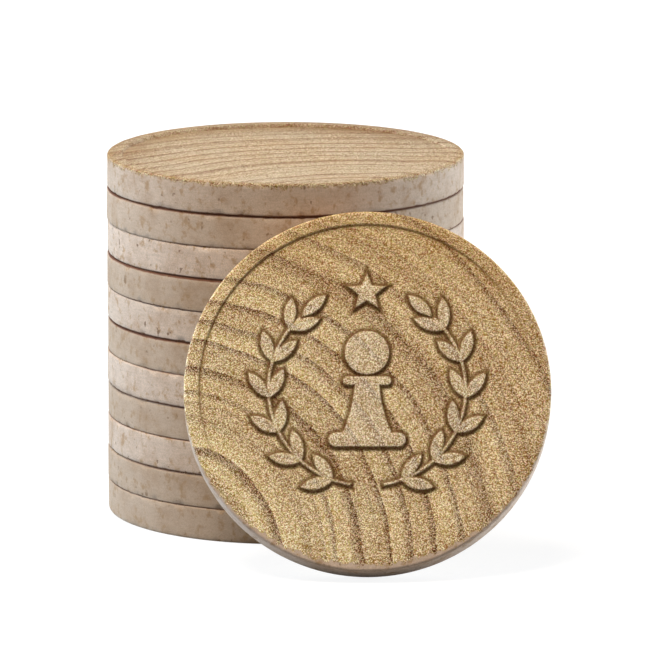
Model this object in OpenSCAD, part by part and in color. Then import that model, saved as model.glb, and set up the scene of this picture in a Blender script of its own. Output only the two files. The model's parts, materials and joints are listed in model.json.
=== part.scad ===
// Set of pressed wooden game tokens: a stack of loose discs, and one disc leaning on the stack.
// Every disc is a separate solid. Each has a raised rim on both sides, a pressed relief on its
// face and a plain back. The stack stands on the table at the origin, and -Y is its front.

/* [Token] */
// Diameter of a token
token_d = 38; // [32:0.5:50]
// Thickness of a token, over the rims
token_t = 3.5; // [2.5:0.1:6]
// Width of the raised rim, on both sides
rim_w = 1.5; // [1:0.1:3.5]
// How far the field lies below the rim, on both sides
field_depth = 0.35; // [0.15:0.05:0.8]
// Run of the slope between the rim and the field
rim_slope = 0.2; // [0.1:0.05:0.6]
// Rounding of the outer edge on the pressed face
face_edge_r = 0.3; // [0.1:0.05:0.9]
// Rounding of the outer edge on the plain back
back_edge_r = 0.2; // [0.05:0.05:0.9]

/* [Relief] */
// How far the top of the relief stays below the rim
relief_below_rim = 0.05; // [0.01:0.01:0.1]
// Distance from the edge of the field to the middle line of the wreath
wreath_inset = 7.1; // [4.5:0.1:8]
// Width of a wreath stem
stem_w = 0.5; // [0.3:0.05:0.8]
// Pairs of leaves on each stem
leaf_pairs = 6; // [3:1:8]
// Length of a leaf
leaf_l = 3.6; // [2:0.1:4]
// Width of a leaf
leaf_w = 1.45; // [0.8:0.05:1.8]
// Angle between a leaf and its stem
leaf_splay = 32; // [15:1:45]
// Opening of the wreath at the bottom, as an angle on each side
wreath_foot_angle = 9; // [4:1:20]
// Opening of the wreath at the top, as an angle on each side
wreath_top_angle = 42; // [34:1:60]
// Height of the pawn
pawn_h = 12.4; // [9:0.1:13]
// Diameter of the pawn's head
pawn_head_d = 4.8; // [3:0.1:5.4]
// Width of the pawn's collar
pawn_collar_w = 5.2; // [4:0.1:6]
// Thickness of the pawn's collar
pawn_collar_h = 1.1; // [0.6:0.1:1.6]
// Width of the pawn's neck, under the collar
pawn_neck_w = 2.7; // [1.8:0.1:3.5]
// Width of the pawn's skirt, above the base
pawn_skirt_w = 6; // [5:0.1:7]
// Width of the pawn's base
pawn_base_w = 8.2; // [7.2:0.1:9]
// Height of the pawn's base
pawn_base_h = 1.7; // [1:0.1:2.4]
// Radius of the star's points
star_r = 2.3; // [1.2:0.1:2.6]
// Radius of the star's inner corners
star_inner_r = 1.02; // [0.6:0.02:1.1]

/* [Stack] */
// Tokens in the stack
stack_count = 11; // [4:1:20]
// How far a token sits off the axis of the stack
stack_scatter = 0.04; // [0:0.02:0.4]
// Turn from one token to the next
stack_turn = 137; // [0:1:180]

/* [Leaning token] */
// Angle of the leaning token from the vertical
lean = 23.5; // [10:0.5:40]
// Sideways place of the leaning token's foot
lean_x = 8.6; // [-12:0.2:12]
// Clearance between the leaning token and the stack
lean_gap = 0.1; // [0.05:0.05:0.4]

/* [Hidden] */
$fn = 96;
token_r = token_d / 2;
rim_inner_r = token_r - rim_w;
field_r = rim_inner_r - rim_slope;
relief_h = field_depth - relief_below_rim;
wreath_r = field_r - wreath_inset;

// The relief is rooted this deep in the wood
relief_root = field_depth;
edge_steps = 6;
lean_steps = 240;
face_colour = "#c2a578";
stack_colour = "#c9b9a6";

stack_names = [for (i = [1 : stack_count]) str("stack_token_", i < 10 ? "0" : "", i)];

// Points of an arc about [x, y], from angle a0 to angle a1
function arc(x, y, r, a0, a1) =
    [for (k = [0 : edge_steps]) let (a = a0 + (a1 - a0) * k / edge_steps) [x + r * cos(a), y + r * sin(a)]];

// Half section of a token, back down: plain field, rim, outer edge, rim, pressed field
function token_section() = concat(
    [[0, field_depth], [field_r, field_depth], [rim_inner_r, 0]],
    arc(token_r - back_edge_r, back_edge_r, back_edge_r, -90, 0),
    arc(token_r - face_edge_r, token_t - face_edge_r, face_edge_r, 0, 90),
    [[rim_inner_r, token_t], [field_r, token_t - field_depth], [0, token_t - field_depth]]
);

// One leaf, along +X from its stalk, bounded by two arcs
module leaf() {
    flank_r = (leaf_l * leaf_l + leaf_w * leaf_w) / (4 * leaf_w);
    translate([leaf_l / 2, 0])
        intersection() {
            translate([0, flank_r - leaf_w / 2]) circle(r = flank_r);
            translate([0, leaf_w / 2 - flank_r]) circle(r = flank_r);
        }
}

// Places its children on the wreath's middle line, at an angle from the bottom, pointing along the stem
module on_wreath(angle) {
    rotate(angle - 90) translate([wreath_r, 0]) rotate(90) children();
}

// One half of the wreath: a curved stem with pairs of leaves and a leaf at its tip
module sprig() {
    tip_angle = 180 - wreath_top_angle;
    leaf_step = (tip_angle - wreath_foot_angle) / leaf_pairs;
    sector_r = 2 * wreath_r;
    difference() {
        circle(r = wreath_r + stem_w / 2);
        circle(r = wreath_r - stem_w / 2);
        rotate(wreath_foot_angle - 90) translate([-sector_r, -2 * sector_r]) square(2 * sector_r);
        rotate(tip_angle - 90) square(sector_r);
        translate([-sector_r, -sector_r]) square([sector_r, 2 * sector_r]);
    }
    for (k = [1 : leaf_pairs])
        on_wreath(wreath_foot_angle + leaf_step * (k - 0.5))
            for (side = [-1, 1]) rotate(side * leaf_splay) leaf();
    on_wreath(tip_angle) leaf();
}

// A bar with round ends, standing on the X axis
module round_bar(w, h) {
    translate([(h - w) / 2, 0]) square([w - h, h]);
    for (side = [-1, 1]) translate([side * (w - h) / 2, h / 2]) circle(d = h);
}

// A pawn standing on the X axis: base, flared skirt, collar and head
module pawn() {
    head_y = pawn_h - pawn_head_d / 2;
    collar_y = pawn_h - pawn_head_d - pawn_collar_h / 2;
    skirt_y = pawn_base_h / 2;
    flare = (pawn_skirt_w - pawn_neck_w) / 2;
    rise = collar_y + pawn_collar_h / 2 - skirt_y;
    flank_r = (flare * flare + rise * rise) / (2 * flare);
    round_bar(pawn_base_w, pawn_base_h);
    difference() {
        translate([-pawn_skirt_w / 2, skirt_y]) square([pawn_skirt_w, rise]);
        for (side = [-1, 1])
            translate([side * (pawn_neck_w / 2 + flank_r), skirt_y + rise]) circle(r = flank_r);
    }
    translate([0, collar_y]) round_bar(pawn_collar_w, pawn_collar_h);
    translate([0, head_y]) circle(d = pawn_head_d);
}

// A five-pointed star about the origin
module star() {
    points = 5;
    half_step = 180 / points;
    polygon([for (k = [0 : 2 * points - 1])
        let (r = k % 2 == 0 ? star_r : star_inner_r) [r * sin(half_step * k), r * cos(half_step * k)]]);
}

// The figures that stand in the field: a pawn in a wreath that opens under a star
module relief() {
    sprig();
    mirror([1, 0]) sprig();
    translate([0, -pawn_h / 2]) pawn();
    translate([0, wreath_r]) star();
}

// One token, back down, with its axis on Z
module token() {
    rotate_extrude() polygon(token_section());
    translate([0, 0, token_t - field_depth - relief_root]) linear_extrude(relief_root + relief_h) relief();
}

// A token of the stack, counted from the table. Tokens lie back to back and face to face,
// so the top one shows its back.
module stack_token(i) {
    from_top = stack_count - 1 - i;
    face_down = from_top % 2 == 0;
    off_axis = i == 0 ? 0 : stack_scatter;
    color(stack_colour)
        translate([off_axis * cos(stack_turn * i), off_axis * sin(stack_turn * i), token_t * i])
            rotate(stack_turn * i)
                translate([0, 0, face_down ? token_t : 0]) rotate([face_down ? 180 : 0, 0, 0]) token();
}

// The leaning token stands on its rounded back edge. Each row across its back is kept clear of
// the stack, and the row that meets the stack first gives the place of the foot.
lean_reach = token_r + stack_scatter + lean_gap;
lean_top = min(token_d, stack_count * token_t / cos(lean));
function row_half(s) = sqrt(max(0, token_r * token_r - pow(s - token_r, 2)));
function row_x(s) = max(lean_x - row_half(s), min(0, lean_x + row_half(s)));
lean_foot_y = min([for (k = [0 : lean_steps]) let (s = lean_top * k / lean_steps, x = row_x(s))
    if (abs(x) < lean_reach) -sqrt(lean_reach * lean_reach - x * x) - s * sin(lean)]);
lean_drop = back_edge_r * (cos(lean) + sin(lean) - 1);

module leaning_token() {
    color(face_colour)
        translate([lean_x, lean_foot_y, -lean_drop])
            rotate([90 - lean, 0, 0]) translate([0, token_r, 0]) token();
}

for (i = [0 : stack_count - 1])
    stack_token(i);
leaning_token();
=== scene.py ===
# %% [markdown]
# # Pressed wooden game tokens
# The object is a stack of loose wooden discs and one more disc that leans on the stack. Each disc
# was turned from beech and pressed hot between two dies, so it has a raised rim, a sunk field and,
# on its face, a raised figure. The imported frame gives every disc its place. This script gives each
# one a finer mesh than the frame has, and then its wood.

# %% The frame
import json
import math
import random

import bmesh
import bpy
import numpy as np
from mathutils import Matrix, Vector, noise


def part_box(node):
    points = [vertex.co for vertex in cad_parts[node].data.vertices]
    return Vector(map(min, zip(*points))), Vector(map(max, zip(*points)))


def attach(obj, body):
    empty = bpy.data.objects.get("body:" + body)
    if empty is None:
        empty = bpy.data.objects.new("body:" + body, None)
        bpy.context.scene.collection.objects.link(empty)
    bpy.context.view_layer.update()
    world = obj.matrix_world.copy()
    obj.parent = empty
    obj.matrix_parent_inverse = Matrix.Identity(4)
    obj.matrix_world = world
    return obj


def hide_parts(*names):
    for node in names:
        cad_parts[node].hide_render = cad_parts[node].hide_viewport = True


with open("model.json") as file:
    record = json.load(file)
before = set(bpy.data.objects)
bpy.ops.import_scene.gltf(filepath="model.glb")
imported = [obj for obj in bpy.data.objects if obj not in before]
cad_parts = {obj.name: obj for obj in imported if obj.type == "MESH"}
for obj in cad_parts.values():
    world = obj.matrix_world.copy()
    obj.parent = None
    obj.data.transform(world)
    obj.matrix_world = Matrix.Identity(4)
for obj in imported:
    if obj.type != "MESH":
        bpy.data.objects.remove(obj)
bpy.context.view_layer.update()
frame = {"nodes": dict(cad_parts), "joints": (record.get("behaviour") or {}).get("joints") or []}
MM = 0.001
print("frame:", len(frame["nodes"]), "nodes")

# %% [markdown]
# ## Camera
# A product picture like this one is taken from some way off with a long lens, so that the upright
# edges of the stack stay parallel. The camera looks down a little, over the top of the stack. Its
# aim, its pitch and its distance place it, and the lens then sets the size in the picture.

# %% Camera
CAMERA_AIM = Vector((3.95, 0.0, 20.0)) * MM
CAMERA_PITCH = math.radians(11.38)
CAMERA_DISTANCE = 823 * MM
CAMERA_LENS_MM = 429.5

lens = bpy.data.cameras.new("camera")
lens.sensor_width = 36.0
lens.lens = CAMERA_LENS_MM
lens.clip_start = 0.01
lens.clip_end = 20.0
camera = bpy.data.objects.new("camera", lens)
towards_camera = Vector((0.0, -math.cos(CAMERA_PITCH), math.sin(CAMERA_PITCH)))
camera.location = CAMERA_AIM + towards_camera * CAMERA_DISTANCE
camera.rotation_euler = (math.pi / 2 - CAMERA_PITCH, 0.0, 0.0)
bpy.context.collection.objects.link(camera)
scene = bpy.context.scene
scene.camera = camera
scene.view_settings.view_transform = "Standard"
print("camera at", [round(c / MM) for c in camera.location], "mm")

# %% [markdown]
# ## One token's sizes
# The diameter and the thickness are read from the frame. The rest is what the two dies leave: the
# rim, the depth of the field and the rounded edges. All of it is in millimetres, and the token is
# modelled in millimetres too, about its own axis with its back at zero. Placing it brings it to
# metres.

# %% Token sizes
# A hair less than the frame's radius, so that rounded numbers never stand out of the frame's box
INSIDE_FRAME = 0.006
RIM_W = 1.5
RIM_SLOPE = 0.2
FIELD_DEPTH = 0.35
FACE_EDGE_R = 0.3
BACK_EDGE_R = 0.2

low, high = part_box("stack_token_01")
TOKEN_R = round((high.x - low.x) / MM, 1) / 2 - INSIDE_FRAME
TOKEN_T = round((high.z - low.z) / MM, 2)
RIM_INNER_R = TOKEN_R - RIM_W
FIELD_R = RIM_INNER_R - RIM_SLOPE
print("token:", 2 * TOKEN_R, "mm across,", TOKEN_T, "mm thick")

# %% [markdown]
# ## The pressed figures
# The face shows a pawn in a wreath that opens under a star. They could be cut out as outlines, but a
# die presses soft edges. So the script asks, for any point of the field, how far it is from the
# nearest figure: below zero inside, above zero outside. Points are complex numbers here, because
# turning one is then a single multiplication.

# %% Distance to a pawn and a star
PAWN_H = 12.4
PAWN_HEAD_D = 4.8
PAWN_COLLAR_W, PAWN_COLLAR_H = 5.2, 1.1
PAWN_NECK_W, PAWN_SKIRT_W = 2.7, 6.0
PAWN_BASE_W, PAWN_BASE_H = 8.2, 1.7
STAR_POINTS = 5
STAR_R, STAR_INNER_R = 2.3, 1.02


def from_disc(p, centre, radius):
    return np.abs(p - centre) - radius


def from_bar(p, foot_y, w, h):
    """A level bar with round ends, on the pawn's axis."""
    along = np.maximum(np.abs(p.real) - (w - h) / 2, 0)
    return np.hypot(along, p.imag - foot_y - h / 2) - h / 2


def from_skirt(p, foot_y, rise):
    """The flared part of the pawn, between its base and its collar."""
    flare = (PAWN_SKIRT_W - PAWN_NECK_W) / 2
    flank_r = (flare**2 + rise**2) / (2 * flare)
    flank = PAWN_NECK_W / 2 + flank_r + 1j * (foot_y + rise)
    folded = np.abs(p.real) + 1j * p.imag
    block = np.maximum(folded.real - PAWN_SKIRT_W / 2, np.abs(p.imag - foot_y - rise / 2) - rise / 2)
    return np.maximum(block, flank_r - np.abs(folded - flank))


def from_star(p, centre):
    q = p - centre
    half_step = math.pi / STAR_POINTS
    turn = np.abs((np.angle(q / 1j) + half_step) % (2 * half_step) - half_step)
    edge = STAR_INNER_R * np.exp(1j * half_step) - STAR_R
    return -((np.abs(q) * np.exp(1j * turn) - STAR_R) * np.conj(edge)).imag / abs(edge)


print("pawn:", PAWN_H, "mm tall")

# %% [markdown]
# ## The wreath
# Two stems bend round the pawn, with pairs of leaves and one leaf at each tip. The halves mirror each
# other, so only the right one is described and points on the left are folded over to it. A leaf is
# what two equal circles share, which gives it its two pointed ends.

# %% Distance to the wreath
WREATH_R = FIELD_R - 7.1
WREATH_FOOT = math.radians(9)
WREATH_TIP = math.radians(180 - 42)
STEM_W = 0.5
LEAF_PAIRS = 6
LEAF_L = 3.6
LEAF_W = 1.45
LEAF_SPLAY = math.radians(32)

# Where each leaf of the right half grows on the stem, and how far it turns from it
leaf_step = (WREATH_TIP - WREATH_FOOT) / LEAF_PAIRS
LEAVES = [(WREATH_TIP, 0.0)]
for k in range(LEAF_PAIRS):
    LEAVES += [(WREATH_FOOT + leaf_step * (k + 0.5), splay) for splay in (-LEAF_SPLAY, LEAF_SPLAY)]


def from_stem(half):
    way = np.angle(half * 1j)
    past_ends = np.maximum(WREATH_FOOT - way, way - WREATH_TIP) * WREATH_R
    return np.maximum(np.abs(np.abs(half) - WREATH_R) - STEM_W / 2, past_ends)


def from_leaf(p, stalk, heading):
    """A leaf between two arcs. The second value is the distance from its midrib."""
    q = (p - stalk) * np.exp(-1j * heading) - LEAF_L / 2
    flank_r = (LEAF_L**2 + LEAF_W**2) / (4 * LEAF_W)
    centre = 1j * (flank_r - LEAF_W / 2)
    return np.maximum(np.abs(q - centre), np.abs(q + centre)) - flank_r, np.abs(q.imag)


print("wreath:", round(2 * WREATH_R, 1), "mm across,", 2 * len(LEAVES), "leaves")

# %% [markdown]
# ## How a figure rises
# Where the die is hollow the wood stays up. Each figure rises over a short slope to its top, which is
# slightly domed, because the wood never quite fills the die. A picture of heights could do this as a
# texture, but heights from the distances give real geometry, as sharp as the mesh is fine.

# %% Slope and dome
# The relief stays a little under the rim, so that tokens stack on their rims
BELOW_RIM = 0.05
RELIEF_H = FIELD_DEPTH - BELOW_RIM
SLOPE_OUT, SLOPE_IN = 0.10, 0.18
DOME_DROP, DOME_REACH = 0.16, 0.8


def smooth(t):
    t = np.clip(t, 0, 1)
    return t * t * (3 - 2 * t)


def rise(distance, top):
    """Height of a figure that ends in a soft slope and has a slightly domed top."""
    slope = smooth((SLOPE_OUT - distance) / (SLOPE_OUT + SLOPE_IN))
    dome = 1 - DOME_DROP * (1 - np.clip(-distance / DOME_REACH, 0, 1)) ** 2
    return RELIEF_H * top * slope * dome


print("relief:", round(rise(np.array(-DOME_REACH), 1.0).item(), 2), "mm high")

# %% [markdown]
# ## All figures together
# The die has every figure in one plate. Where two overlap, the higher one shows, so the heights are
# joined by taking the larger. A Boolean could join solid figures, but their soft slopes would meet in
# ragged seams. Every leaf has a midrib pressed into it, and the field dips a little along the outlines,
# where the edge of the die bit deepest.

# %% All figures together
MIDRIB_DEPTH, MIDRIB_W = 0.09, 0.11
DITCH_DEPTH, DITCH_AT, DITCH_W = 0.05, 0.28, 0.2
# Heights as shares of the relief, so that parts that overlap stay apart
FULL_TOP, COLLAR_TOP, SKIRT_TOP, STEM_TOP, LEAF_TOP = 1.0, 0.94, 0.8, 0.7, 0.95


def hump(distance, width):
    return np.exp(-((distance / width) ** 2))


def pawn_and_star(p):
    """Distance from each plain figure, with its height as a share of the relief."""
    foot = -PAWN_H / 2
    collar_y = foot + PAWN_H - PAWN_HEAD_D - PAWN_COLLAR_H
    skirt_y = foot + PAWN_BASE_H / 2
    return [
        (from_disc(p, 1j * (foot + PAWN_H - PAWN_HEAD_D / 2), PAWN_HEAD_D / 2), FULL_TOP),
        (from_bar(p, collar_y, PAWN_COLLAR_W, PAWN_COLLAR_H), COLLAR_TOP),
        (from_skirt(p, skirt_y, collar_y + PAWN_COLLAR_H - skirt_y), SKIRT_TOP),
        (from_bar(p, foot, PAWN_BASE_W, PAWN_BASE_H), FULL_TOP),
        (from_star(p, 1j * WREATH_R), FULL_TOP),
    ]


def pressed_figures(p):
    """Distance from the nearest figure and height above the field, in millimetres."""
    half = np.abs(p.real) + 1j * p.imag
    figures = pawn_and_star(p) + [(from_stem(half), STEM_TOP)]
    distance = np.min([d for d, _ in figures], axis=0)
    height = np.max([rise(d, top) for d, top in figures], axis=0)
    for turn, splay in LEAVES:
        stalk = WREATH_R * np.exp(1j * (turn - math.pi / 2))
        d, from_rib = from_leaf(half, stalk, turn + splay)
        groove = MIDRIB_DEPTH * hump(from_rib, MIDRIB_W) * smooth(-d / SLOPE_IN)
        height = np.maximum(height, rise(d, LEAF_TOP) - groove)
        distance = np.minimum(distance, d)
    ditch = DITCH_DEPTH * hump(distance - DITCH_AT, DITCH_W) * smooth(distance / SLOPE_OUT)
    return distance, height - ditch


print("tops in mm:", [round(RELIEF_H * top, 2) for top in (FULL_TOP, LEAF_TOP, SKIRT_TOP, STEM_TOP)])

# %% [markdown]
# ## Half a section
# A disc with a rim is a turned shape, so it is made as a turner would: one half section, spun about
# the axis. The section is drawn with only its corners, and bevelling each corner point gives the edge
# its radius. A cylinder with inset faces would need every rounding made on a full circle.

# %% Half a section
RIM_ROUND = 0.07
CORNER_SEGMENTS = 5


def half_section(bm):
    corners = [
        (0.0, FIELD_DEPTH, 0.0),
        (FIELD_R, FIELD_DEPTH, RIM_ROUND),
        (RIM_INNER_R, 0.0, RIM_ROUND),
        (TOKEN_R, 0.0, BACK_EDGE_R),
        (TOKEN_R, TOKEN_T, FACE_EDGE_R),
        (RIM_INNER_R, TOKEN_T, RIM_ROUND),
        (FIELD_R, TOKEN_T - FIELD_DEPTH, RIM_ROUND),
        (0.0, TOKEN_T - FIELD_DEPTH, 0.0),
    ]
    points = [bm.verts.new((r, 0.0, z)) for r, z, _ in corners]
    for pair in zip(points, points[1:]):
        bm.edges.new(pair)
    for point, (_, _, radius) in zip(points, corners):
        if radius:
            bmesh.ops.bevel(
                bm, geom=[point], offset=radius, offset_type="OFFSET", segments=CORNER_SEGMENTS,
                profile=0.5, affect="VERTICES", material=-1,
            )


trial = bmesh.new()
half_section(trial)
print("half a section:", len(trial.verts), "points")
trial.free()

# %% [markdown]
# ## The blank
# The section goes once round the axis. Its straight runs are divided before that, because the field
# has to be fine enough to be pressed afterwards and the wall to take chips. Dividing the whole disc
# afterwards would do too, but then every part of it is as heavy as the finest.

# %% The blank
SEGMENTS = 256
FIELD_RINGS, BACK_RINGS = 54, 10
WALL_ROWS, RIM_ROWS = 6, 2
# Points closer than this, in millimetres, count as one place
SAME_PLACE = 1e-4


def token_blank():
    bm = bmesh.new()
    half_section(bm)
    runs = [
        (2, TOKEN_T - FIELD_DEPTH, FIELD_RINGS),
        (2, FIELD_DEPTH, BACK_RINGS),
        (2, TOKEN_T, RIM_ROWS),
        (2, 0.0, RIM_ROWS),
        (0, TOKEN_R, WALL_ROWS),
    ]
    for axis, level, rows in runs:
        run = [e for e in bm.edges if all(abs(v.co[axis] - level) < SAME_PLACE for v in e.verts)]
        bmesh.ops.subdivide_edges(bm, edges=run, cuts=rows - 1)
    bmesh.ops.spin(
        bm, geom=bm.verts[:] + bm.edges[:], cent=(0, 0, 0), axis=(0, 0, 1), dvec=(0, 0, 0),
        angle=2 * math.pi, steps=SEGMENTS, use_merge=True, use_normal_flip=False, use_duplicate=False,
    )
    bmesh.ops.remove_doubles(bm, verts=bm.verts[:], dist=SAME_PLACE)
    bmesh.ops.recalc_face_normals(bm, faces=bm.faces[:])
    return bm


blank = token_blank()
print("blank:", len(blank.faces), "faces")
blank.free()

# %% [markdown]
# ## Pressing the face
# The field's mesh is divided again along the outlines of the figures, so that the slopes get several
# rows of faces and the bare field stays light. Then every point of the field is lifted by the height
# of the relief. The outer edge is divided too, for the small chips that it gets later. Two tokens are
# pressed as masters: a fine one for the token that shows its face, and a lighter one for the stack.

# %% Pressing
# Faces nearer to an outline than each of these, in millimetres, are divided once more
FINE_BANDS = {"leaning": (0.62, 0.24), "stack": (0.5,)}
CHIP_ZONE = 0.7


def flat_points(places):
    return np.array([complex(c.x, c.y) for c in places])


def on_pressed_field(co):
    return co.z > TOKEN_T - FIELD_DEPTH - RIM_ROUND and co.xy.length < FIELD_R - RIM_ROUND


def is_outer_hoop(edge):
    """An edge that runs round the outside of the token."""
    a, b = (v.co for v in edge.verts)
    level = abs(a.xy.length - b.xy.length) < SAME_PLACE and abs(a.z - b.z) < SAME_PLACE
    return level and min(a.xy.length, b.xy.length) > TOKEN_R - CHIP_ZONE


def pressed_token(name, bands):
    bm = token_blank()
    for band in bands:
        faces = [f for f in bm.faces if on_pressed_field(f.calc_center_median())]
        distance, _ = pressed_figures(flat_points([f.calc_center_median() for f in faces]))
        edges = {e for f, d in zip(faces, distance) if abs(d) < band for e in f.edges}
        bmesh.ops.subdivide_edges(bm, edges=list(edges), cuts=1, use_grid_fill=True)
    hoops = [e for e in bm.edges if is_outer_hoop(e)]
    bmesh.ops.subdivide_edges(bm, edges=hoops, cuts=1)
    field = [v for v in bm.verts if on_pressed_field(v.co)]
    _, height = pressed_figures(flat_points([v.co for v in field]))
    for v, h in zip(field, height):
        v.co.z += h
    for f in bm.faces:
        f.smooth = True
    mesh = bpy.data.meshes.new(name)
    bm.to_mesh(mesh)
    bm.free()
    print(name, len(mesh.polygons), "faces")
    return mesh


masters = {use: pressed_token(f"{use}_master", bands) for use, bands in FINE_BANDS.items()}

# %% [markdown]
# ## Where each token lies
# Nothing is placed by eye. The frame's boxes give every token's place, and the joint that takes the
# leaning token away runs along its face normal, so its axis gives the tilt. Tokens of the stack lie
# face to face and back to back, each turned a little further than the one below.

# %% Places
STACK_COUNT = sum(name.startswith("stack_token_") for name in frame["nodes"])
STACK_TURN = math.radians(137)


def stack_name(i):
    return f"stack_token_{i + 1:02d}"


def stack_place(i):
    """Brings a token from millimetres about its own axis to its place in the stack."""
    low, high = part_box(stack_name(i))
    place = Matrix.Translation(((low.x + high.x) / 2, (low.y + high.y) / 2, low.z))
    place = place @ Matrix.Rotation(STACK_TURN * i, 4, "Z") @ Matrix.Scale(MM, 4)
    if (STACK_COUNT - 1 - i) % 2 == 0:
        place = place @ Matrix.Translation((0, 0, TOKEN_T)) @ Matrix.Rotation(math.pi, 4, "X")
    return place


def leaning_place():
    """The box of a tilted disc touches its rounded edges, and that gives the middle of the disc."""
    joint = next(j for j in frame["joints"] if j["child"] == "leaning_token")
    lean = math.asin(Vector(joint["axis"]).normalized().z)
    sin, cos = math.sin(lean), math.cos(lean)
    low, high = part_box("leaning_token")
    half = TOKEN_T / 2
    up = (TOKEN_R - BACK_EDGE_R) * cos + (half - BACK_EDGE_R) * sin + BACK_EDGE_R
    back = (TOKEN_R - FACE_EDGE_R) * sin + (half - FACE_EDGE_R) * cos + FACE_EDGE_R
    middle = Matrix.Translation(((low.x + high.x) / 2, low.y + back * MM, low.z + up * MM))
    tilt = Matrix.Rotation(math.pi / 2 - lean, 4, "X") @ Matrix.Scale(MM, 4)
    return middle @ tilt @ Matrix.Translation((0, 0, -half))


places = {stack_name(i): stack_place(i) for i in range(STACK_COUNT)}
places["leaning_token"] = leaning_place()
leaning_middle = places["leaning_token"] @ Vector((0, 0, TOKEN_T / 2))
print("leaning token's middle:", [round(c / MM, 2) for c in leaning_middle], "mm")

# %% [markdown]
# ## Chipped edges
# Turned beech chips along its edges, so both outer edges lose a little wood here and there, never
# gain any. A displacement modifier would also push points outwards; here noise says where a chip is,
# and the point moves towards the middle of the wood by at most a tenth of a millimetre.

# %% Chips
CHIP_DEPTH = 0.1
CHIP_SIZE = 1.1
CHIP_START = 0.12
CHIP_ROUGHNESS, CHIP_LACUNARITY, CHIP_OCTAVES = 0.6, 2.0, 3
WALL_FROM_R = TOKEN_R - FACE_EDGE_R - 1e-3


def depth_under_faces(z):
    return np.minimum(z, TOKEN_T - z)


def depth_on_wall(r, z):
    """How far a point of the outer edge lies under the nearer face; 0 on the faces."""
    return depth_under_faces(z) * (r > WALL_FROM_R)


def chip(co, share, seed):
    """Moves points of the rounded edges in; share is how far along the rounding a point lies."""
    for k in np.nonzero((share > 0.01) & (share < 0.99))[0]:
        x, y, z = co[k]
        spot = Vector((x, y, z + seed)) / CHIP_SIZE
        bite = noise.fractal(spot, CHIP_ROUGHNESS, CHIP_LACUNARITY, CHIP_OCTAVES) - CHIP_START
        if bite > 0:
            depth = CHIP_DEPTH * min(bite, 1.0) * 4 * share[k] * (1 - share[k])
            r = math.hypot(x, y)
            down = -depth if z > TOKEN_T / 2 else depth
            co[k] = (x * (1 - depth / r), y * (1 - depth / r), z + down)


print("chips: up to", CHIP_DEPTH, "mm deep")

# %% [markdown]
# ## What pressing leaves behind
# After hot pressing the wood springs back, and not evenly: on one side of a token the step under the
# rim stays sharp, with a dark painted shade in it, and on the other it nearly fades. The die also sits
# a little off centre, so the rim is wider on one side. Both could be sculpted; here each token has its
# own numbers for them, and smooth ramps move the points, so the field stays free of dents.

# %% Spring-back
SPRING_FROM = 12.8
BITE_SPREAD = 0.6


def by_side(face, pair):
    """The first value on the face of the token, the second on its back."""
    return np.where(face, *pair)


def bite_share(co, towards):
    """1 on the side where the die bit deep, 0 opposite."""
    return smooth(0.5 + BITE_SPREAD * (co[:, :2] @ np.array(towards)) / TOKEN_R)


def settle(co, r, face, bite, look):
    """Lets the field rise to the rim where the wood sprang back, and shifts it off centre."""
    lost, full = by_side(face, look["step_lost"]), by_side(face, look["step_kept"])
    kept = lost + (full - lost) * bite
    below = depth_under_faces(co[:, 2]) * (r < RIM_INNER_R)
    lift = below * (1 - kept) * smooth((r - SPRING_FROM) / (FIELD_R - SPRING_FROM))
    co[:, 2] += np.where(face, lift, -lift)
    inner = 1 - smooth((r - RIM_INNER_R) / (RIM_W - FACE_EDGE_R))
    co[:, :2] += np.outer(inner, look["off_centre"])


print("spring-back: from", SPRING_FROM, "mm out to the rim")

# %% [markdown]
# ## The marks that the wood needs
# Each token carries its own measurements as mesh attributes: where a point lies from the heart of
# the tree, in millimetres, how far it is past the edge of a face, how far from the pressed figures,
# and how much painted shade it gets in the gaps of the stack and under the rim. The material reads
# these, so its pattern stays on the token when the token moves. Painted textures would do it too, but
# these follow the shape by themselves.

# %% Marks
FACE_REACH = 2.0
FAR_FROM_FIGURES = 5.0
# Painted shade in a gap of the stack runs down from a hidden edge this far, and starts this near to the
# outside
GAP_SHADE_REACH = (0.27, 0.17)
GAP_SHADE_BAND, GAP_SHADE_FADE = 0.8, 0.4
# Painted shade: the dark line in the crevice under the rim, and on the back a golden painted shade that
# spreads from it
CREVICE_SHADE_W = (0.08, 0.22)
RIM_SHADE, RIM_SHADE_W = (0.0, 0.55), 4.0
# Tokens are cut this far apart along the trunk, so no two show the same grain
TREE_STEP = 31.0


def mark(mesh, name, values):
    kind, field = ("FLOAT_VECTOR", "vector") if values.ndim == 2 else ("FLOAT", "value")
    made = mesh.attributes.new(name, kind, "POINT")
    made.data.foreach_set(field, values.astype(np.float32).ravel())


def past_edge(co, r, face, look):
    """Millimetres past the line where the tan of a face ends; below 0 on the face itself."""
    wrap = by_side(face, look["wrap"]) + np.where(face, look["worn_below"], 0.0) * co[:, 1] / TOKEN_R
    return depth_under_faces(co[:, 2]) - np.minimum(TOKEN_R - r, FACE_REACH) - wrap


def gap_shade_of(depth, r, face, look):
    """How much painted shade a hidden edge in a gap of the stack gets: most at the edge itself, less
    down the wall.
    """
    near_edge = smooth((r - TOKEN_R + GAP_SHADE_BAND) / GAP_SHADE_FADE)
    fades = np.clip(1 - depth / by_side(face, GAP_SHADE_REACH), 0, 1)
    return fades * near_edge * by_side(face, look["gap_shade_strength"])


def crevice_shade_of(r, face):
    """Painted shade: 1 in the crevice under the rim, and less in the painted shade round it."""
    from_step = r - FIELD_R
    shade = by_side(face, RIM_SHADE) * hump(from_step, RIM_SHADE_W)
    return np.maximum(hump(from_step, by_side(face, CREVICE_SHADE_W)), shade)


print("marks: tree, wall, scorched, pressed, figure, crevice, tone")

# %% [markdown]
# ## Making one token
# A token is a copy of a master. Its marks are measured on the clean shape, apart from its place in
# the tree, which follows the chips, so that a chip shows the wood underneath. The mesh is moved to
# its place at the very end, and the object itself stays at the origin.

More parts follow.
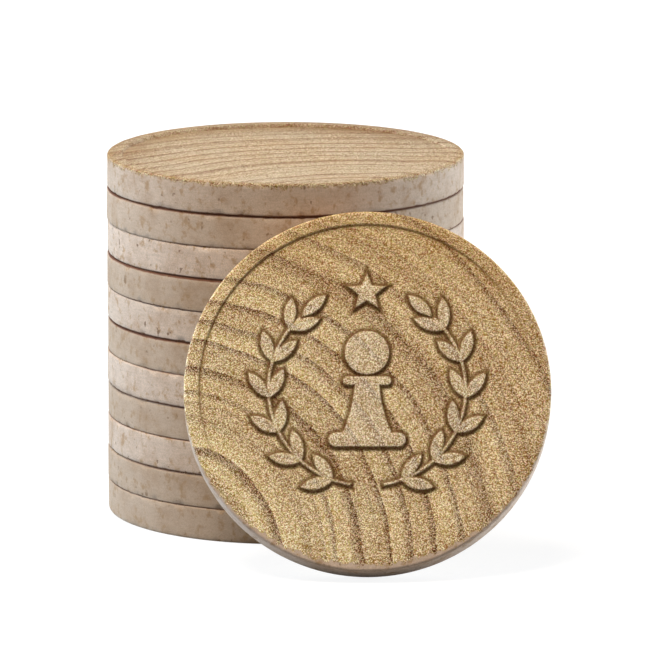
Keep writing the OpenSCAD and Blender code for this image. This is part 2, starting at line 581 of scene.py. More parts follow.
# %% One token
def make_token(name, master, place, index, look):
    mesh = master.copy()
    mesh.name = name
    co = np.zeros(len(mesh.vertices) * 3, np.float32)
    mesh.vertices.foreach_get("co", co)
    co = co.reshape(-1, 3).astype(float)
    r = np.hypot(co[:, 0], co[:, 1])
    face = co[:, 2] > TOKEN_T / 2
    depth = depth_on_wall(r, co[:, 2])
    distance, _ = pressed_figures(co[:, 0] + 1j * co[:, 1])
    mark(mesh, "wall", past_edge(co, r, face, look))
    # Painted shade in the gaps of the stack
    mark(mesh, "gap_shade", gap_shade_of(depth, r, face, look))
    mark(mesh, "pressed", face.astype(float))
    mark(mesh, "figure", np.where(face, distance, FAR_FROM_FIGURES))
    # Tone of the board, with painted shade low in the stack and painted light on the leaning token's
    # wall
    mark(mesh, "tone_and_shading", np.full(len(r), look["tone_and_shading"]))
    chip(co, depth / by_side(face, (FACE_EDGE_R, BACK_EDGE_R)), index * TREE_STEP)
    mark(mesh, "tree", co - np.array([*look["pith"], -index * TREE_STEP]))
    bite = bite_share(co, look["bite"])
    # Painted shade under the rim, weaker where the step springs back
    mark(mesh, "crevice_shade", bite * crevice_shade_of(r, face))
    settle(co, r, face, bite, look)
    mesh.vertices.foreach_set("co", co.astype(np.float32).ravel())
    mesh.transform(place)
    piece = bpy.data.objects.new(f"{name}_wood", mesh)
    bpy.context.collection.objects.link(piece)
    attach(piece, name)
    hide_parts(name)
    return piece


print("masters to copy:", ", ".join(masters))

# %% [markdown]
# ## Every token differs
# The heart of the tree lies beside each token, and how far and on which side decides the grain that
# its face shows. Walls are painted darker low in the stack, as painted shade, and are lighter on every
# second token, which lies the other way up. Edges in the gaps are painted dark brown, as painted shade
# between the tokens, more so higher up. Most of this is drawn at random, as no two tokens of a batch
# are alike, and the seed is fixed, so that each run gives the same batch.

# %% A token's look
PITH_NEAR, PITH_FAR = 18, 70
# Tone differs at random and by side; the part per step is painted shade, darker down the stack
TONE_SPREAD, TONE_BY_SIDE, STACK_SHADE_PER_STEP = 0.4, 0.7, 0.1
STACK_SHADE_MIDDLE = 6
HIDDEN_WRAP = (-0.3, -0.2)
# Painted shade in the gaps of the stack: on a face it grows higher up, on a back it is even
GAP_SHADE_LOW, GAP_SHADE_PER_STEP, BACK_GAP_SHADE = 0.4, 0.1, 0.45
OFF_CENTRE = 0.2


def any_look(index):
    """Pairs hold the face's value and then the back's."""
    away, side = random.uniform(PITH_NEAR, PITH_FAR), random.uniform(0, 2 * math.pi)
    by_turn = TONE_BY_SIDE if index % 2 == 0 else -TONE_BY_SIDE
    # Painted shade: walls lower in the stack are darker
    stack_shade = STACK_SHADE_PER_STEP * (index - STACK_SHADE_MIDDLE)
    return {
        "pith": (away * math.cos(side), away * math.sin(side)),
        "tone_and_shading": random.uniform(-TONE_SPREAD, TONE_SPREAD) + by_turn + stack_shade,
        "wrap": (random.uniform(*HIDDEN_WRAP), random.uniform(*HIDDEN_WRAP)),
        "worn_below": 0.0,
        "bite": (math.cos(side), math.sin(side)),
        "gap_shade_strength": (min(GAP_SHADE_LOW + GAP_SHADE_PER_STEP * index, 1.0), BACK_GAP_SHADE),
        "off_centre": [random.uniform(-OFF_CENTRE, OFF_CENTRE) for _ in range(2)],
        "step_kept": (1.0, 1.0),
        "step_lost": (0.6, 0.6),
    }


print("heart of the tree:", PITH_NEAR, "to", PITH_FAR, "mm from a token's axis")

# %% [markdown]
# ## The twelve tokens
# Three tokens are seen well and get values of their own over the drawn ones. The leaning token shows
# arcs round a heart low on its left, and the top of the stack shows arcs round one in front of it. The
# tan of a face stops short of a hidden edge and wraps over an edge that is seen, apart from the leaning
# token's foot, which is rubbed pale. The bottom token's lower edge lies in no gap, so it gets no painted
# gap shade, and its wall is painted darker as shade. The leaning token's wall is painted lighter, as
# painted light.

# %% Tokens
TOP_PITH_FROM_AXIS = Vector((7.0, -24.0, 0.0)) * MM
TOP_BITE_TOWARDS = Vector((-0.35, 0.94, 0.0)) * MM
# The bottom token: no painted gap shade on its lower edge, and a wall painted darker as shade
BOTTOM_LOOK = {"gap_shade_strength": (0.0, BACK_GAP_SHADE), "tone_and_shading": -1.0}
TOP_LOOK = {"tone_and_shading": 0.0, "wrap": (-0.25, 0.35), "gap_shade_strength": (1.0, 0.0), "step_lost": (0.6, 0.1)}
LEANING_LOOK = {
    "pith": (-21.6, -18.5),
    # A wall painted lighter: painted light on the leaning token's wall
    "tone_and_shading": 1.5,
    "wrap": (0.35, 0.1),
    "worn_below": 1.0,
    "gap_shade_strength": (0.0, 0.0),
    "off_centre": (-0.05, 0.2),
    "bite": (-0.42, 0.91),
    "step_kept": (0.65, 1.0),
    "step_lost": (0.1, 0.6),
}

random.seed(7)
tokens = {}
for index, (name, place) in enumerate(places.items()):
    look = any_look(index)
    if name == "leaning_token":
        look.update(LEANING_LOOK)
    elif index == 0:
        look.update(BOTTOM_LOOK)
    elif index == STACK_COUNT - 1:
        # The top token's grain and rim are set as they are seen, so they are turned into its own axes
        own = place.inverted()
        look.update(TOP_LOOK, pith=(own @ (place.translation + TOP_PITH_FROM_AXIS)).xy)
        look["bite"] = (own.to_3x3() @ TOP_BITE_TOWARDS).xy
    master = masters["leaning" if name == "leaning_token" else "stack"]
    tokens[name] = make_token(name, master, place, index, look)
for master in masters.values():
    bpy.data.meshes.remove(master)
print("tokens:", len(tokens), "of", sum(len(t.data.polygons) for t in tokens.values()), "faces")

# %% [markdown]
# ## Colours and nodes
# Two helpers serve every material. Colours are written as they look on a screen and are turned to
# linear light, which is what shaders reckon with. The other helper adds one node, sets it up, links
# what goes into it and gives back what comes out, so that a material reads like a recipe.

# %% Colours and nodes
def colour(code):
    """An sRGB hex value as linear light."""
    parts = [int(code[k : k + 2], 16) / 255 for k in (1, 3, 5)]
    return tuple(c / 12.92 if c <= 0.04045 else ((c + 0.055) / 1.055) ** 2.4 for c in parts) + (1.0,)


def add(tree, kind, inputs=(), output=0, **settings):
    """Adds one node with its settings, its values and the links into it, and gives one output."""
    made = tree.nodes.new("ShaderNode" + kind)
    for key, value in settings.items():
        setattr(made, key, value)
    for key, value in inputs.items() if isinstance(inputs, dict) else enumerate(inputs):
        if isinstance(value, bpy.types.NodeSocket):
            tree.links.new(value, made.inputs[key])
        else:
            made.inputs[key].default_value = value
    return made.outputs[output]


# Settings that come back often. A Mix node of colours takes its share at 0 and its colours at 6 and 7
TIMES = {"operation": "MULTIPLY"}
TIMES_PLUS = {"operation": "MULTIPLY_ADD"}
SOFT = {"interpolation_type": "SMOOTHSTEP"}
TINT = {"output": 2, "data_type": "RGBA"}
SHADE = {"output": 2, "data_type": "RGBA", "blend_type": "MULTIPLY"}
print("example: mid grey is", round(colour("#808080")[0], 3), "in linear light")

# %% [markdown]
# ## Beech, turned and pressed
# Beech is pale, even and slightly pink where it was only turned, as on the wall of a token. The hot
# dies tan the faces to a golden brown and bring out the growth rings. One material does both, because
# a token is one piece of wood, and the marks on the mesh say which is where. It is built up in the
# next cells, from the tree outwards.

# %% Beech
# Dry beech, turned, sanded and hot pressed: matt all over, with a trace of gloss on the pressed faces
beech = bpy.data.materials.new("pressed_beech")
beech.use_nodes = True
wood = beech.node_tree
tree_place = add(wood, "Attribute", output="Vector", attribute_name="tree")
wall, gap_shade, pressed, figure, crevice_shade, tone_and_shading = (
    add(wood, "Attribute", output="Fac", attribute_name=name)
    for name in ("wall", "gap_shade", "pressed", "figure", "crevice_shade", "tone_and_shading")
)
for token in tokens.values():
    token.data.materials.clear()
    token.data.materials.append(beech)
print("beech on", len(tokens), "tokens")

# %% [markdown]
# ## Growth rings
# A growth ring is a step in the distance from the heart of the tree, so the rings are drawn from that
# distance. Noise makes them wander, and a second noise along the distance sets them close in poor
# years and wide in good ones. A plain Wave texture would give the same ring again and again.

# %% Growth rings
# Millimetres: a year's growth, the long and short waves in a ring, a run of good or poor years
RING_MM = 2.7
WANDER_MM, WANDER_BY = 13.0, 1.8
RIPPLE_MM, RIPPLE_BY = 2.5, 0.3
YEARS_MM, YEARS_BY = 7.0, 4.0

across = add(wood, "VectorMath", (tree_place, (1.0, 1.0, 0.0)), **TIMES)
radius = add(wood, "VectorMath", (across,), "Value", operation="LENGTH")
for size, by in ((WANDER_MM, WANDER_BY), (RIPPLE_MM, RIPPLE_BY)):
    wave = add(wood, "TexNoise", {"Vector": tree_place, "Scale": 1 / size, "Detail": 2.0})
    radius = add(wood, "Math", (wave, by, radius), **TIMES_PLUS)
run = add(wood, "TexNoise", {"W": radius, "Scale": 1 / YEARS_MM, "Detail": 1.0}, noise_dimensions="1D")
radius = add(wood, "Math", (run, YEARS_BY, radius), **TIMES_PLUS)
years = add(wood, "Math", (radius, 1 / RING_MM), **TIMES)
print("rings:", RING_MM, "mm a year")

# %% [markdown]
# ## Late wood
# Within a year the wood darkens slowly towards the late wood and then starts afresh, so a ring is soft
# on its inner side and sharp on its outer one. A Color Ramp could draw that; a soft step up and one
# down do the same with values that have names. Some years show strongly and some hardly at all. On a
# plain back the rings are fainter, and finer lines show between them.

# %% Late wood
# Shares of a year: where the line starts, where it is darkest, and where the next year starts
LATE_START, FINE_START = 0.55, 0.5
LATE_DARKEST, LATE_ENDS = 0.93, 0.95
FINE_PER_YEAR, FINE_SHIFT = 2.6, 0.4
LUCK_YEARS = 0.37
MOTTLE_MM = 7.0
# How strong the lines are, first on a plain back and then on a pressed face
LATE_SHARE, FINE_SHARE = (0.85, 1.0), (0.5, 0.22)
# A noise stays mostly near a half: the two values between which it acts, then the shares it gives
LUCK_RANGE, LUCK_SHARE = (0.3, 0.62), (0.2, 1.0)
PATCH_RANGE, PATCH_SHARE = (0.25, 0.65), (0.65, 1.0)


def late_lines(years, start):
    share = add(wood, "Math", (years,), operation="FRACT")
    darkens = add(wood, "MapRange", (share, start, LATE_DARKEST), **SOFT)
    ends = add(wood, "MapRange", (share, LATE_ENDS, 1.0, 1.0, 0.0), **SOFT)
    line = add(wood, "Math", (darkens, ends), **TIMES)
    year = add(wood, "Math", (years,), operation="FLOOR")
    luck = {"W": year, "Scale": 1 / LUCK_YEARS, "Detail": 0.0}
    luck = add(wood, "TexNoise", luck, noise_dimensions="1D")
    shows = add(wood, "MapRange", (luck, *LUCK_RANGE, *LUCK_SHARE), **SOFT)
    return add(wood, "Math", (line, shows), **TIMES)


mottle = add(wood, "TexNoise", {"Vector": tree_place, "Scale": 1 / MOTTLE_MM, "Detail": 3.0})
patchy = add(wood, "MapRange", (mottle, *PATCH_RANGE, *PATCH_SHARE), **SOFT)
late = add(wood, "Math", (late_lines(years, LATE_START), patchy), **TIMES)
late_share = add(wood, "MapRange", (pressed, 0.0, 1.0, *LATE_SHARE), **SOFT)
late = add(wood, "Math", (late, late_share), **TIMES)
fine_years = add(wood, "Math", (years, FINE_PER_YEAR, FINE_SHIFT), **TIMES_PLUS)
fine_share = add(wood, "MapRange", (pressed, 0.0, 1.0, *FINE_SHARE), **SOFT)
late = add(wood, "Math", (late_lines(fine_years, FINE_START), fine_share, late), **TIMES_PLUS)
print("late wood:", len(wood.nodes), "nodes so far")

# %% [markdown]
# ## The tan of the faces
# Heat turns the pale wood golden, more so in the outer wood far from the heart. Under the rings lie
# broad soft bands, two or so years wide. Each is one Mix node over the one before, as a painter lays
# glazes, so that any of them can be made stronger without touching the rest.

# %% Tan
BACK_TAN, FACE_TAN = colour("#c9b798"), colour("#fae4aa")
# Millimetres from the heart between which the outer wood comes in
OUTER_WOOD, OUTER_FROM, OUTER_TO, OUTER_MOST = colour("#c99a52"), 16.0, 46.0, 0.5
BAND, BAND_PER_YEAR, BAND_SHIFT, BAND_DARKEST = colour("#a87c42"), 0.45, 0.55, 0.9
# First on a plain back and then on a pressed face
BAND_SHARE = (0.1, 0.42)

tan = add(wood, "Mix", {0: pressed, 6: BACK_TAN, 7: FACE_TAN}, **TINT)
outer = add(wood, "MapRange", (radius, OUTER_FROM, OUTER_TO, 0.0, OUTER_MOST), **SOFT)
outer = add(wood, "Math", (outer, pressed), **TIMES)
tan = add(wood, "Mix", {0: outer, 6: tan, 7: OUTER_WOOD}, **TINT)
band = add(wood, "Math", (years, BAND_PER_YEAR, BAND_SHIFT), **TIMES_PLUS)
band = add(wood, "Math", (band,), operation="FRACT")
band_in = add(wood, "MapRange", (band, 0.0, BAND_DARKEST), **SOFT)
band_out = add(wood, "MapRange", (band, BAND_DARKEST, 1.0, 1.0, 0.0), **SOFT)
band = add(wood, "Math", (band_in, band_out), **TIMES)
band_share = add(wood, "MapRange", (pressed, 0.0, 1.0, *BAND_SHARE), **SOFT)
band = add(wood, "Math", (band, band_share), **TIMES)
tan = add(wood, "Mix", {0: band, 6: tan, 7: BAND}, **TINT)
print("tan:", len(wood.nodes), "nodes so far")

# %% [markdown]
# ## Heat, rings and patches
# One side of a pressed face took more heat and is more golden. The late wood goes over that, then
# cloudy patches, and on a plain back a golden brown rim, where the flat die touched most. The rings
# come this late in the order so that the tan never hides them.

# %% Heat, rings and patches
LATE_WOOD, CLOUD = colour("#7f5226"), colour("#b98b49")
# Millimetres from the heart between which the hot side comes in
HOT_SIDE, HOT_FROM, HOT_TO, HOT_MOST = colour("#b98d4c"), 20.0, 40.0, 0.2
CLOUD_RANGE, CLOUD_MOST = (0.35, 0.75), 0.45
# Millimetres past the edge between which the rim's tan comes in; the rim lies before it
RIM_TAN, RIM_TAN_FROM, RIM_TAN_FULL, RIM_TAN_MOST = colour("#a07a3c"), -1.3, -0.3, 0.55
# First on a plain back and then on a pressed face
CLOUD_SHARE, RIM_TAN_SHARE = (0.5, 1.0), (1.0, 0.0)

hot = add(wood, "SeparateXYZ", (tree_place,), "Y")
hot = add(wood, "MapRange", (hot, HOT_FROM, HOT_TO), **SOFT)
hot = add(wood, "Math", (hot, pressed), **TIMES)
hot_share = add(wood, "Math", (hot, HOT_MOST), **TIMES)
tan = add(wood, "Mix", {0: hot_share, 6: tan, 7: HOT_SIDE}, **TINT)
tan = add(wood, "Mix", {0: late, 6: tan, 7: LATE_WOOD}, **TINT)
cloud = add(wood, "MapRange", (mottle, *CLOUD_RANGE, 0.0, CLOUD_MOST), **SOFT)
cloud_share = add(wood, "MapRange", (pressed, 0.0, 1.0, *CLOUD_SHARE), **SOFT)
cloud = add(wood, "Math", (cloud, cloud_share), **TIMES)
tan = add(wood, "Mix", {0: cloud, 6: tan, 7: CLOUD}, **TINT)
rim = add(wood, "MapRange", (wall, RIM_TAN_FROM, RIM_TAN_FULL, 0.0, RIM_TAN_MOST), **SOFT)
rim_share = add(wood, "MapRange", (pressed, 0.0, 1.0, *RIM_TAN_SHARE), **SOFT)
rim = add(wood, "Math", (rim, rim_share), **TIMES)
tan = add(wood, "Mix", {0: rim, 6: tan, 7: RIM_TAN}, **TINT)
print("patches:", len(wood.nodes), "nodes so far")

# %% [markdown]
# ## Outlines, and painted shade under the rim
# The edge of the hot die presses hardest along the outlines, and there the wood is brown; the brown at
# the foot of each figure is also painted shade. The tops of the figures barely touch the die and stay
# paler. The step under the rim gets a painted shade, in patches. The distance from the figures, which
# shaped the relief, draws the outlines and the tops.

# %% Outlines and painted shade under the rim
# The outline colour is partly the die's scorch and partly painted shade at the foot of each figure, and
# the last colour is painted shade in the crevice under the rim
FIGURE_TOP, FIGURE_OUTLINE, CREVICE_SHADE_BROWN = colour("#ebd8b4"), colour("#654420"), colour("#6e4821")
# Millimetres: where a top is reached inside a figure, where the brown fades outside it, the patches of
# painted shade
TOP_STARTS, TOP_FULL = -0.02, -0.22
BROWN_FULL, BROWN_ENDS = 0.08, 0.5
SHADE_PATCH_MM = 9.0
TOP_MOST, OUTLINE_MOST, CREVICE_SHADE_MOST = 0.52, 0.9, 0.58
SHADE_PATCH_RANGE, SHADE_PATCH_SHARE = (0.35, 0.65), (0.7, 1.3)

top = add(wood, "MapRange", (figure, TOP_STARTS, TOP_FULL), **SOFT)
below_top = add(wood, "Math", (1.0, top), operation="SUBTRACT")
# Outline: partly scorch, partly painted shade at the foot of each raised figure
outline = add(wood, "MapRange", (figure, BROWN_FULL, BROWN_ENDS, 1.0, 0.0), **SOFT)
outline = add(wood, "Math", (outline, below_top), **TIMES)
top_share = add(wood, "Math", (top, TOP_MOST), **TIMES)
tan = add(wood, "Mix", {0: top_share, 6: tan, 7: FIGURE_TOP}, **TINT)
outline_share = add(wood, "Math", (outline, OUTLINE_MOST), **TIMES)
tan = add(wood, "Mix", {0: outline_share, 6: tan, 7: FIGURE_OUTLINE}, **TINT)
# Patches for the painted shade under the rim and in the gaps of the stack
shade_patches = add(wood, "TexNoise", {"Vector": tree_place, "Scale": 1 / SHADE_PATCH_MM, "Detail": 1.0})
shade_patches = add(wood, "MapRange", (shade_patches, *SHADE_PATCH_RANGE, *SHADE_PATCH_SHARE), **SOFT)
# Painted shade in the crevice under the rim, in patches
crevice_shade_share = add(wood, "Math", (shade_patches, CREVICE_SHADE_MOST), **TIMES)
crevice_shade_share = add(wood, "Math", (crevice_shade, crevice_shade_share), **TIMES)
tan = add(wood, "Mix", {0: crevice_shade_share, 6: tan, 7: CREVICE_SHADE_BROWN}, **TINT)
print("outlines:", len(wood.nodes), "nodes so far")

# %% [markdown]
# ## Sandy grain
# Pressed end fibres look like fine sand: each one a little lighter or darker than the next, and a
# little redder or greener. Voronoi cells give every grain one flat value of its own, where smooth
# noise would blur them. A dark grain is also more saturated, so the grain works through a Gamma node.
# It is strong on a pressed face, and weaker on a plain back, on the outlines, in the painted shade under
# the rim and on the hot side.

# %% Sandy grain
# A beech fibre is about 0.02 mm across; the grains are drawn coarser, or they would not show
GRIT_MM = 0.07
GRIT_RANGE = (0.1, 0.9)
# Darkest and palest grain: what is added to a gamma of 1, and how much of that also dims the grain
GAMMA_SPREAD, DIMS_BY = (1.05, -0.65), -0.4
HUE_SPREAD = (0.463, 0.537)
# First on a plain back and then on a pressed face
GRAIN_SHARE = (0.75, 1.0)
# Shares of the grain on the outlines and in the painted shade under the rim, and on the hot side
OUTLINE_AND_SHADE_SHARE, HOT_SHARE = 0.4, 0.78

grit = add(wood, "TexVoronoi", {"Vector": tree_place, "Scale": 1 / GRIT_MM}, "Color")
grit = add(wood, "SeparateColor", (grit,)).node.outputs
strength = add(wood, "MapRange", (pressed, 0.0, 1.0, *GRAIN_SHARE), **SOFT)
brown = add(wood, "Math", (outline, crevice_shade), operation="MAXIMUM")
calmer = add(wood, "MapRange", (brown, 0.0, 1.0, 1.0, OUTLINE_AND_SHADE_SHARE), **SOFT)
strength = add(wood, "Math", (strength, calmer), **TIMES)
smoother = add(wood, "MapRange", (hot, 0.0, 1.0, 1.0, HOT_SHARE), **SOFT)
strength = add(wood, "Math", (strength, smoother), **TIMES)
speck = add(wood, "MapRange", (grit[0], *GRIT_RANGE, *GAMMA_SPREAD), **SOFT)
speck = add(wood, "Math", (speck, strength), **TIMES)
gamma = add(wood, "Math", (speck, 1.0), operation="ADD")
tan = add(wood, "Gamma", {"Color": tan, "Gamma": gamma})
level = add(wood, "Math", (speck, DIMS_BY, 1.0), **TIMES_PLUS)
tan = add(wood, "Mix", {0: 1.0, 6: tan, 7: level}, **SHADE)
hue = add(wood, "MapRange", (grit[1], *GRIT_RANGE, *HUE_SPREAD), **SOFT)
tan = add(wood, "HueSaturation", {"Hue": hue, "Color": tan})
print("grain:", len(wood.nodes), "nodes so far")

# %% [markdown]
# ## The turned wall
# The wall was cut on a lathe and never touched the hot dies, so it is pale and slightly pink. Soft
# blotches, smudges from the tool and short dark flecks, which are the wood's rays cut across, lie over
# it. A picture of beech could do this, but every token would show the same spots. Noise of three sizes
# draws them instead, and a soft step on each noise keeps only its peaks, so they stay apart.

# %% Turned wall
PALE_WOOD, BLOTCH, SMUDGE = colour("#ccb6a3"), colour("#a8886d"), colour("#a17b50")
FLECK = colour("#6b4a30")
# Millimetres across; a ray of beech shows as a fleck about 1 mm long
BLOTCH_MM, SMUDGE_MM, FLECK_MM = 3.0, 1.0, 0.8
# The two values of its noise between which each kind of spot comes in, and its share where it is full
BLOTCH_RANGE, BLOTCH_MOST = (0.4, 0.75), 0.6
SMUDGE_RANGE, SMUDGE_MOST = (0.52, 0.7), 0.7
FLECK_RANGE, FLECK_MOST = (0.68, 0.74), 0.75
# Spots are a little longer along the trunk than across it
ALONG_TRUNK = (1.0, 1.0, 0.85)

along = add(wood, "Mapping", {"Vector": tree_place, "Scale": ALONG_TRUNK})
spots = {}
for size, detail, roughness in ((BLOTCH_MM, 5.0, 0.62), (SMUDGE_MM, 3.0, 0.65), (FLECK_MM, 2.0, 0.5)):
    fine = {"Scale": 1 / size, "Detail": detail, "Roughness": roughness}
    spots[size] = add(wood, "TexNoise", {"Vector": along, **fine})
blotch = add(wood, "MapRange", (spots[BLOTCH_MM], *BLOTCH_RANGE, 0.0, BLOTCH_MOST), **SOFT)
pale = add(wood, "Mix", {0: blotch, 6: PALE_WOOD, 7: BLOTCH}, **TINT)
smudge = add(wood, "MapRange", (spots[SMUDGE_MM], *SMUDGE_RANGE, 0.0, SMUDGE_MOST), **SOFT)
pale = add(wood, "Mix", {0: smudge, 6: pale, 7: SMUDGE}, **TINT)
fleck = add(wood, "MapRange", (spots[FLECK_MM], *FLECK_RANGE), **SOFT)
fleck_share = add(wood, "Math", (fleck, FLECK_MOST), **TIMES)
pale = add(wood, "Mix", {0: fleck_share, 6: pale, 7: FLECK}, **TINT)
print("wall:", len(wood.nodes), "nodes so far")

# %% [markdown]
# ## Tool lines and tone
# Fine lines run round the wall where the tool passed. Cut into the mesh, they would need far more faces
# than they are worth, so noise that is stretched along the wall draws them. The sandy grain shows here
# as well, faintly. Last, the tone of each token shifts its whole wall, as tokens from different boards
# differ; the same value also darkens the walls low in the stack as painted shade and lightens the
# leaning token's wall as painted light.

# %% Tool lines and tone
# Darker wood, also used as painted shade on the walls low in the stack
DARK_TONE_AND_SHADE = colour("#a98c6b")
# The real lines are finer than 0.1 mm; they are drawn coarser, or they would not show
TOOL_LINE_MM = 0.4
TOOL_LINE_RANGE = (0.25, 0.75)
# Long round the token and narrow across its wall
ROUND_TOKEN = (0.3, 0.3, 1.6)
# The darkest and the brightest that a line or a grain makes the wall
TOOL_LINE_LEVEL, GRAIN_LEVEL = (0.93, 1.07), (0.88, 1.12)
DARKER_MOST, LEVEL_PER_TONE = 0.4, 0.06

around = add(wood, "Mapping", {"Vector": tree_place, "Scale": ROUND_TOKEN})
fine = {"Scale": 1 / TOOL_LINE_MM, "Detail": 3.0, "Roughness": 0.65}
lines = add(wood, "TexNoise", {"Vector": around, **fine})
lines = add(wood, "MapRange", (lines, *TOOL_LINE_RANGE, *TOOL_LINE_LEVEL), **SOFT)
pale = add(wood, "Mix", {0: 1.0, 6: pale, 7: lines}, **SHADE)
grains = add(wood, "MapRange", (grit[2], 0.0, 1.0, *GRAIN_LEVEL), **SOFT)
pale = add(wood, "Mix", {0: 1.0, 6: pale, 7: grains}, **SHADE)
# Painted shade and painted light through the tone: darker low in the stack, lighter on the leaning token
darker = add(wood, "MapRange", (tone_and_shading, -1.0, 1.0, DARKER_MOST, 0.0), **SOFT)
pale = add(wood, "Mix", {0: darker, 6: pale, 7: DARK_TONE_AND_SHADE}, **TINT)
level = add(wood, "Math", (tone_and_shading, LEVEL_PER_TONE, 1.0), **TIMES_PLUS)
pale = add(wood, "Mix", {0: 1.0, 6: pale, 7: level}, **SHADE)
print("tone:", len(wood.nodes), "nodes so far")

# %% [markdown]
# ## Where face and wall meet
# The tan ends in a ragged line near the edge, because the heat follows the fibres, and a thin golden
# border runs along it. In the gaps of the stack the edges are painted dark brown, as painted shade
# between the tokens. The line is the mark for the wall, pushed to and fro by noise, and one soft step
# across it joins the two woods.

# %% Edges
# The second colour is painted shade: the dark brown in the gaps between stacked tokens
BORDER, GAP_SHADE_BROWN = colour("#a07a45"), colour("#5a2b12")
SPLINTER_MM, SPLINTER_BY, EDGE_SOFT = 0.6, 1.8, 0.1
BORDER_MOST = 0.35
GAP_SHADE_RANGE, GAP_SHADE_MOST = (0.1, 0.7), 0.9

splinter = {"Vector": tree_place, "Scale": 1 / SPLINTER_MM, "Detail": 3.0, "Roughness": 0.7}
splinter = add(wood, "TexNoise", splinter)
splinter = add(wood, "Math", (splinter, 0.5), operation="SUBTRACT")
ragged = add(wood, "Math", (splinter, SPLINTER_BY, wall), **TIMES_PLUS)
edge = add(wood, "MapRange", (ragged, -EDGE_SOFT, EDGE_SOFT), **SOFT)
surface = add(wood, "Mix", {0: edge, 6: tan, 7: pale}, **TINT)
not_edge = add(wood, "Math", (1.0, edge), operation="SUBTRACT")
border = add(wood, "Math", (edge, not_edge), **TIMES)
border = add(wood, "Math", (border, 4 * BORDER_MOST), **TIMES)
surface = add(wood, "Mix", {0: border, 6: surface, 7: BORDER}, **TINT)
# Painted shade in the gaps of the stack, in patches
gap_darkening = add(wood, "Math", (gap_shade, shade_patches), **TIMES)
gap_darkening = add(wood, "MapRange", (gap_darkening, *GAP_SHADE_RANGE, 0.0, GAP_SHADE_MOST), **SOFT)
surface = add(wood, "Mix", {0: gap_darkening, 6: surface, 7: GAP_SHADE_BROWN}, **TINT)
print("edges:", len(wood.nodes), "nodes so far")

# %% [markdown]
# ## How the wood takes the light
# Bare wood scatters light, so it is rough, and its gloss is weak because dust and open pores break it
# up. The pressed faces are a little smoother than the turned wall. A bump of a few hundredths of a
# millimetre lets late wood, dark grains and flecks lie lower, as soft and hard wood wear.

# %% Wood shader
# Cellulose has an index of about 1.5
WOOD_IOR, WOOD_GLOSS = 1.5, 0.15
FACE_ROUGH, WALL_ROUGH = 0.62, 0.8
BUMP_MM, BUMP_STRENGTH = 0.05, 0.5
# How much lower they lie, as shares of the bump
GRAIN_LOW, LATE_LOW, FLECK_LOW = -0.5, -0.4, -0.5

shader = wood.nodes["Principled BSDF"]
shader.inputs["IOR"].default_value = WOOD_IOR
shader.inputs["Specular IOR Level"].default_value = WOOD_GLOSS
wood.links.new(surface, shader.inputs["Base Color"])
rough = add(wood, "MapRange", (edge, 0.0, 1.0, FACE_ROUGH, WALL_ROUGH), **SOFT)
wood.links.new(rough, shader.inputs["Roughness"])
height = add(wood, "Math", (speck, GRAIN_LOW), **TIMES)
height = add(wood, "Math", (late, LATE_LOW, height), **TIMES_PLUS)
height = add(wood, "Math", (fleck, FLECK_LOW, height), **TIMES_PLUS)
bump = add(wood, "Bump", {"Height": height, "Strength": BUMP_STRENGTH, "Distance": BUMP_MM * MM})
wood.links.new(bump, shader.inputs["Normal"])
print("beech:", len(wood.nodes), "nodes")

# %% [markdown]
# ## Floor
# The set stands on a plain white table in front of white. A white floor under plain light would look
# grey and throw much light up at the walls, so its paint is a mid grey, and it glows for the camera
# only: it reads as white and still keeps the shadow. Away from the set it glows fully, so that it runs
# into the white behind without a line.

# %% Floor
FLOOR_SIZE = 12.0
FLOOR_DROP = 0.02 * MM
FLOOR_GLOW = 0.84
FLOOR_CLEAR = 0.25
# Matt paint: it scatters light evenly and mirrors nothing
FLOOR_PAINT = colour("#8a8a8a")


def seen_rays(tree):
    """1 for what the camera sees, also in a mirror or through glass, and 0 for light on its way."""
    rays = add(tree, "LightPath").node.outputs
    seen = add(tree, "Math", (rays["Is Camera Ray"], rays["Is Glossy Ray"]), operation="MAXIMUM")
    return add(tree, "Math", (seen, rays["Is Transmission Ray"]), operation="MAXIMUM")


table_paint = bpy.data.materials.new("matt_table_paint")
table_paint.use_nodes = True
table = table_paint.node_tree
table.nodes.remove(table.nodes["Principled BSDF"])
paint = add(table, "BsdfDiffuse", {"Color": FLOOR_PAINT})
away = add(table, "TexCoord", output="Object")
away = add(table, "VectorMath", (away,), "Value", operation="LENGTH")
glow = add(table, "MapRange", (away, 0.0, FLOOR_CLEAR, FLOOR_GLOW, 1.0))
glow = add(table, "Math", (seen_rays(table), glow), **TIMES)
glow = add(table, "Emission", {"Strength": glow})
both = add(table, "AddShader", (paint, glow))
table.links.new(both, table.nodes["Material Output"].inputs["Surface"])

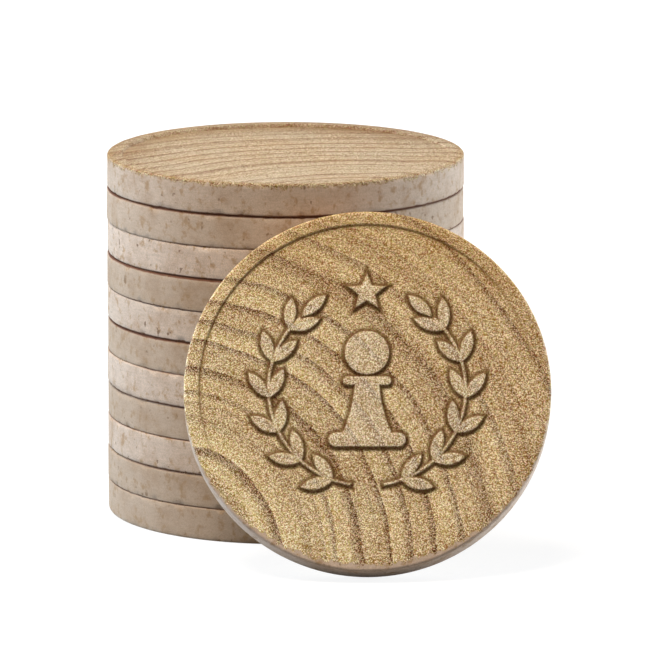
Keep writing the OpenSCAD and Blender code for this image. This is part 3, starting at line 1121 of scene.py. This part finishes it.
bm = bmesh.new()
bmesh.ops.create_grid(bm, x_segments=1, y_segments=1, size=FLOOR_SIZE / 2)
bmesh.ops.translate(bm, verts=bm.verts[:], vec=(0, 0, -FLOOR_DROP))
floor_mesh = bpy.data.meshes.new("table")
bm.to_mesh(floor_mesh)
bm.free()
floor = bpy.data.objects.new("table", floor_mesh)
floor_mesh.materials.append(table_paint)
bpy.context.collection.objects.link(floor)
print("floor:", FLOOR_SIZE, "m square")

# %% [markdown]
# ## White surroundings
# The picture's background is plain white. White all round would also light the set from every side and
# leave no shadow, so the world is white for the camera only and lights the set with a small share.

# %% World
WORLD_LIGHT = 0.14

world = bpy.data.worlds.new("studio")
scene.world = world
world.use_nodes = True
sky = world.node_tree
level = add(sky, "MapRange", (seen_rays(sky), 0.0, 1.0, WORLD_LIGHT, 1.0))
sky.links.new(level, sky.nodes["Background"].inputs["Strength"])
sky.nodes["Background"].inputs["Color"].default_value = colour("#ffffff")
print("world:", WORLD_LIGHT, "of white")

# %% [markdown]
# ## Lamps
# Two low strip boxes stand a little behind the set, left and right of it, and are slightly cool, so the
# round stack is bright at its sides and quiet in the middle. A slightly warm box hangs above, to the
# front and left, and draws the pressed figures with a soft shadow. Sun lamps would draw them too, but
# with hard shadows.

# %% Lamps
LAMP_AIM = Vector((2.0, -10.0, 18.0)) * MM
# Place and size in millimetres, power in watts, colour
LAMPS = {
    "left_strip": ((-420, 130, 45), (300, 80), 2.5, "#cfe8ff"),
    "right_strip": ((425, 130, 45), (300, 80), 2.9, "#e2f1ff"),
    "top_softbox": ((-113, -130, 447), (220, 220), 2.36, "#fff5e8"),
}

for name, (spot, size, watts, tint) in LAMPS.items():
    lamp = bpy.data.lights.new(name, "AREA")
    lamp.shape = "RECTANGLE"
    lamp.size, lamp.size_y = size[0] * MM, size[1] * MM
    lamp.energy = watts
    lamp.color = colour(tint)[:3]
    holder = bpy.data.objects.new(name, lamp)
    holder.location = Vector(spot) * MM
    holder.rotation_euler = (LAMP_AIM - holder.location).to_track_quat("-Z", "Y").to_euler()
    holder.visible_camera = False
    bpy.context.collection.objects.link(holder)
print("lamps:", ", ".join(LAMPS))
